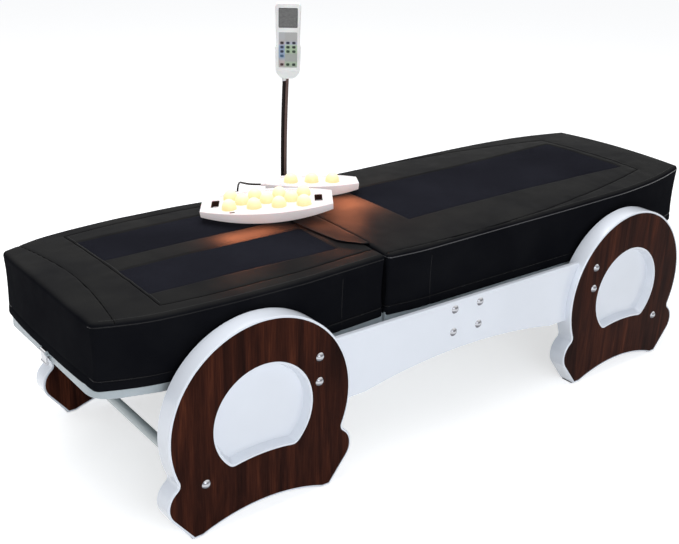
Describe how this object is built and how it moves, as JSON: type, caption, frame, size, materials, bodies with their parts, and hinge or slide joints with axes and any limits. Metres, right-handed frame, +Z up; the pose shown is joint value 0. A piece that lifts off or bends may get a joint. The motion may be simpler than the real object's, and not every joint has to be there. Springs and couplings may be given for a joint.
{
  "type": "thermal massage bed",
  "caption": "Two-section heated massage bed with padded leather mats on round-footed legs, a roller carriage inside, a handset on a stalk and jade heat projectors.",
  "frame": {"origin": "on the floor, under the middle of the bed", "axes": "+X from the foot end to the head end, +Y to the side that carries the handset, +Z up"},
  "size_m": [1.927, 0.717, 1.0082],
  "materials": {
    "white_lacquer": "gloss lacquer",
    "walnut_veneer": "dark satin, vertical grain",
    "glide_rubber": "matte",
    "bright_chrome": "polished",
    "grey_green_steel": "satin powder coat",
    "grey_green_shell": "satin",
    "zinc_steel": "satin",
    "plywood": "matte",
    "black_leather": "soft satin",
    "slate_fabric": "woven",
    "black_plastic": "fine texture",
    "motor_black": "satin",
    "belt_rubber": "matte",
    "aluminium_pulley": "machined",
    "jade_stone": "polished stone",
    "gooseneck_black": "satin",
    "cable_brown": "satin",
    "handset_white": "satin",
    "handset_panel": "gloss",
    "key_plastic": "satin",
    "projector_white": "satin, faintly lit from inside",
    "jade_glow": "lit from inside",
    "cord_black": "satin"
  },
  "bodies": {
    "bed_frame": {"foot_near_leg": "white_lacquer", "foot_far_leg": "white_lacquer", "head_near_leg": "white_lacquer", "head_far_leg": "white_lacquer", "leg_veneers": "walnut_veneer", "floor_glides": "glide_rubber", "near_side_rail": "white_lacquer", "far_side_rail": "white_lacquer", "frame_bolts": "bright_chrome", "cross_tubes": "grey_green_steel", "crossbeams": "grey_green_steel", "tray_tracks": "zinc_steel", "head_tray": "grey_green_shell", "head_deck": "plywood", "head_cushion": "black_leather", "head_fabric": "slate_fabric", "junction_flap": "black_leather", "carriage_track": "bright_chrome", "drive_motor": "motor_black", "drive_belt": "belt_rubber", "control_box": "black_plastic", "mains_inlet": "black_plastic", "gooseneck": "gooseneck_black", "handset_cradle": "handset_white", "handset_cable": "cable_brown", "front_projector": "projector_white", "front_projector_balls": "jade_glow", "rear_projector": "projector_white", "rear_projector_balls": "jade_glow", "front_projector_cord": "cord_black", "rear_projector_cord": "cord_black", "accessory_sockets": "black_plastic"},
    "foot_section": {"foot_tray": "grey_green_shell", "foot_deck": "plywood", "foot_cushion": "black_leather", "foot_fabric": "slate_fabric", "foot_runners": "black_plastic"},
    "latch": {"tray_latch": "bright_chrome"},
    "carriage": {"carriage": "black_plastic"},
    "lift_frame": {"lift_frame": "zinc_steel"},
    "front_rollers": {"front_jade_rollers": "jade_stone"},
    "rear_rollers": {"rear_jade_rollers": "jade_stone"},
    "drive_pulley": {"drive_pulley": "aluminium_pulley"},
    "idler_pulley": {"idler_pulley": "black_plastic"},
    "power_rocker": {"power_rocker": "black_plastic"},
    "handset": {"handset": "handset_white", "handset_face": "handset_panel"},
    "key_01": {"key_01": "key_plastic"},
    "key_02": {"key_02": "key_plastic"},
    "key_03": {"key_03": "key_plastic"},
    "key_04": {"key_04": "key_plastic"},
    "key_05": {"key_05": "key_plastic"},
    "key_06": {"key_06": "key_plastic"},
    "key_07": {"key_07": "key_plastic"},
    "key_08": {"key_08": "key_plastic"},
    "key_09": {"key_09": "key_plastic"},
    "key_10": {"key_10": "key_plastic"},
    "key_11": {"key_11": "key_plastic"},
    "key_12": {"key_12": "key_plastic"},
    "key_13": {"key_13": "key_plastic"}
  },
  "joints": [
    {"name": "foot_section_slide", "type": "slide", "parent": "bed_frame", "child": "foot_section", "axis": [-1, 0, 0], "range_m": [0, 0.12]},
    {"name": "latch_swing", "type": "hinge", "parent": "foot_section", "child": "latch", "pos_m": [-0.962, 0, 0.358], "axis": [0, 1, 0], "range_deg": [0, 40]},
    {"name": "carriage_travel", "type": "slide", "parent": "bed_frame", "child": "carriage", "axis": [1, 0, 0], "range_m": [0, 0.49]},
    {"name": "drive_pulley_spin", "type": "hinge", "parent": "bed_frame", "child": "drive_pulley", "pos_m": [0.706, 0, 0.385], "axis": [0, 1, 0], "range_deg": [0, 1890]},
    {"name": "idler_pulley_spin", "type": "hinge", "parent": "bed_frame", "child": "idler_pulley", "pos_m": [0.022, 0, 0.385], "axis": [0, 1, 0], "range_deg": [0, 1890]},
    {"name": "roller_lift", "type": "slide", "parent": "carriage", "child": "lift_frame", "axis": [0, 0, 1], "range_m": [-0.035, 0]},
    {"name": "front_roller_spin", "type": "hinge", "parent": "lift_frame", "child": "front_rollers", "pos_m": [0.065, 0, 0.494], "axis": [0, 1, 0], "continuous": true},
    {"name": "rear_roller_spin", "type": "hinge", "parent": "lift_frame", "child": "rear_rollers", "pos_m": [0.155, 0, 0.494], "axis": [0, 1, 0], "continuous": true},
    {"name": "power_rocker_tilt", "type": "hinge", "parent": "bed_frame", "child": "power_rocker", "pos_m": [0.756, -0.04, 0.313], "axis": [0, 1, 0], "range_deg": [-18, 0]},
    {"name": "handset_lift", "type": "slide", "parent": "bed_frame", "child": "handset", "axis": [0, 0, 1], "range_m": [0, 0.025]},
    {"name": "key_01_press", "type": "slide", "parent": "handset", "child": "key_01", "axis": [0.5707, 0.8211, 0], "range_m": [0, 0.0008], "stiffness_N_per_m": 200},
    {"name": "key_02_press", "type": "slide", "parent": "handset", "child": "key_02", "axis": [0.5707, 0.8211, 0], "range_m": [0, 0.0008], "stiffness_N_per_m": 200},
    {"name": "key_03_press", "type": "slide", "parent": "handset", "child": "key_03", "axis": [0.5707, 0.8211, 0], "range_m": [0, 0.0008], "stiffness_N_per_m": 200},
    {"name": "key_04_press", "type": "slide", "parent": "handset", "child": "key_04", "axis": [0.5707, 0.8211, 0], "range_m": [0, 0.0008], "stiffness_N_per_m": 200},
    {"name": "key_05_press", "type": "slide", "parent": "handset", "child": "key_05", "axis": [0.5707, 0.8211, 0], "range_m": [0, 0.0008], "stiffness_N_per_m": 200},
    {"name": "key_06_press", "type": "slide", "parent": "handset", "child": "key_06", "axis": [0.5707, 0.8211, 0], "range_m": [0, 0.0008], "stiffness_N_per_m": 200},
    {"name": "key_07_press", "type": "slide", "parent": "handset", "child": "key_07", "axis": [0.5707, 0.8211, 0], "range_m": [0, 0.0008], "stiffness_N_per_m": 200},
    {"name": "key_08_press", "type": "slide", "parent": "handset", "child": "key_08", "axis": [0.5707, 0.8211, 0], "range_m": [0, 0.0008], "stiffness_N_per_m": 200},
    {"name": "key_09_press", "type": "slide", "parent": "handset", "child": "key_09", "axis": [0.5707, 0.8211, 0], "range_m": [0, 0.0008], "stiffness_N_per_m": 200},
    {"name": "key_10_press", "type": "slide", "parent": "handset", "child": "key_10", "axis": [0.5707, 0.8211, 0], "range_m": [0, 0.0008], "stiffness_N_per_m": 200},
    {"name": "key_11_press", "type": "slide", "parent": "handset", "child": "key_11", "axis": [0.5707, 0.8211, 0], "range_m": [0, 0.0008], "stiffness_N_per_m": 200},
    {"name": "key_12_press", "type": "slide", "parent": "handset", "child": "key_12", "axis": [0.5707, 0.8211, 0], "range_m": [0, 0.0008], "stiffness_N_per_m": 200},
    {"name": "key_13_press", "type": "slide", "parent": "handset", "child": "key_13", "axis": [0.5707, 0.8211, 0], "range_m": [0, 0.0008], "stiffness_N_per_m": 200}
  ],
  "couplings": [
    {"joint": "drive_pulley_spin", "follows": "carriage_travel", "rad_per_m": 67.114},
    {"joint": "idler_pulley_spin", "follows": "carriage_travel", "rad_per_m": 67.114}
  ]
}
